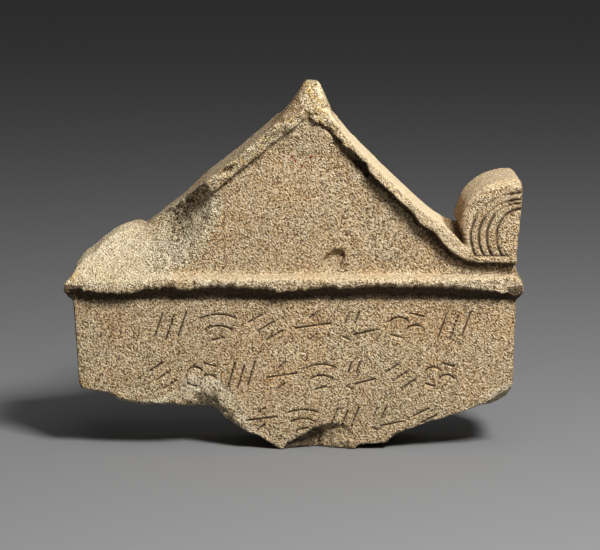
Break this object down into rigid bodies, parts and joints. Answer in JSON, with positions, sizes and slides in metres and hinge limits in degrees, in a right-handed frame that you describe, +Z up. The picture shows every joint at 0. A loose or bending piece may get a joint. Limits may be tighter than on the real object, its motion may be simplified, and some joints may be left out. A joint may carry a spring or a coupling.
{
  "type": "carved stone stele",
  "caption": "Broken upper end of a small marble grave stele: flat shaft with cut strokes, cornice, pediment and one corner acroterion.",
  "frame": {"origin": "middle of the bounding box in X and Y, at the flat of the broken underside that the stone stands on", "axes": "+X to the right across the carved face, -Y out of the carved face, +Z up to the broken apex"},
  "size_m": [0.4549, 0.098, 0.369],
  "materials": {
    "weathered_marble": "fine chiselled marble, weathered to a granular buff surface, with rough paler breaks"
  },
  "bodies": {
    "root": {"carved_stele": "weathered_marble"}
  },
  "joints": []
}
